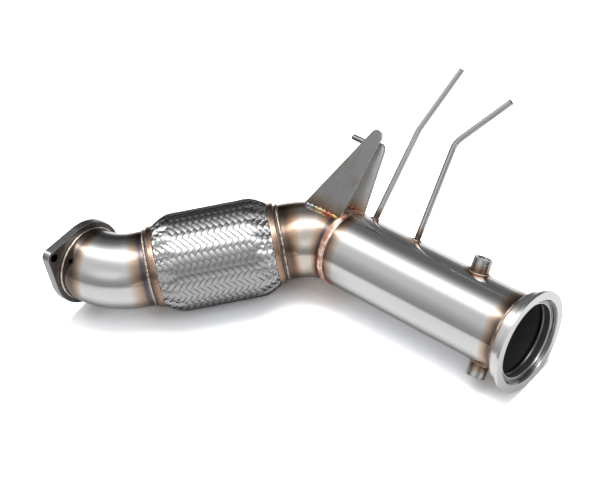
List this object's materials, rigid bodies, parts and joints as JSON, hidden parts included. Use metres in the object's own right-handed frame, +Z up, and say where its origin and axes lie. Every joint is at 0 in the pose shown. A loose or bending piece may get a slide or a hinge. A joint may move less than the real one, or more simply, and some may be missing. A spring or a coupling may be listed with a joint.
{
  "type": "turbo downpipe",
  "caption": "Welded stainless turbo downpipe: V-band inlet, straight pipe with sensor bungs and pressure tubes, elbow, braided flex, outlet elbow and a bolted oval flange.",
  "frame": {"origin": "centre of the V-band flange's face, on the axis of the main tube", "axes": "+X out of the V-band inlet along the main tube's axis; +Z up, square to the plane of the bends, as the part lies on the floor"},
  "size_m": [0.4386, 0.3709, 0.1946],
  "materials": {
    "polished_pipe": "polished stainless steel pipe",
    "turned_flange": "turned stainless steel",
    "turned_bung": "turned stainless steel",
    "thin_tube": "drawn stainless steel tube",
    "weld_bead": "TIG weld bead with heat tint",
    "collar": "pressed stainless steel",
    "bellows": "thin stainless steel",
    "braid": "braided stainless steel wire",
    "cut_plate": "laser cut stainless steel plate",
    "bracket_sheet": "satin stainless steel sheet"
  },
  "bodies": {
    "root": {"vband_flange": "turned_flange", "weld_vband": "weld_bead", "main_tube": "polished_pipe", "upper_sensor_bung": "turned_bung", "weld_upper_sensor_bung": "weld_bead", "lower_sensor_bung": "turned_bung", "weld_lower_sensor_bung": "weld_bead", "rear_pressure_tube": "thin_tube", "weld_rear_pressure_tube": "weld_bead", "front_pressure_tube": "thin_tube", "weld_front_pressure_tube": "weld_bead", "joining_elbow": "polished_pipe", "outlet_elbow": "polished_pipe", "weld_main_tube": "weld_bead", "flex_collar_inlet": "collar", "flex_collar_outlet": "collar", "weld_flex_inlet": "weld_bead", "weld_flex_outlet": "weld_bead", "flex_bellows": "bellows", "flex_liner": "bellows", "flex_braid": "braid", "outlet_flange_plate": "cut_plate", "weld_outlet_flange": "weld_bead", "bracket_front_plate": "bracket_sheet", "bracket_rear_plate": "bracket_sheet", "bracket_peg": "thin_tube", "weld_bracket_front": "weld_bead", "weld_bracket_rear": "weld_bead"}
  },
  "joints": []
}
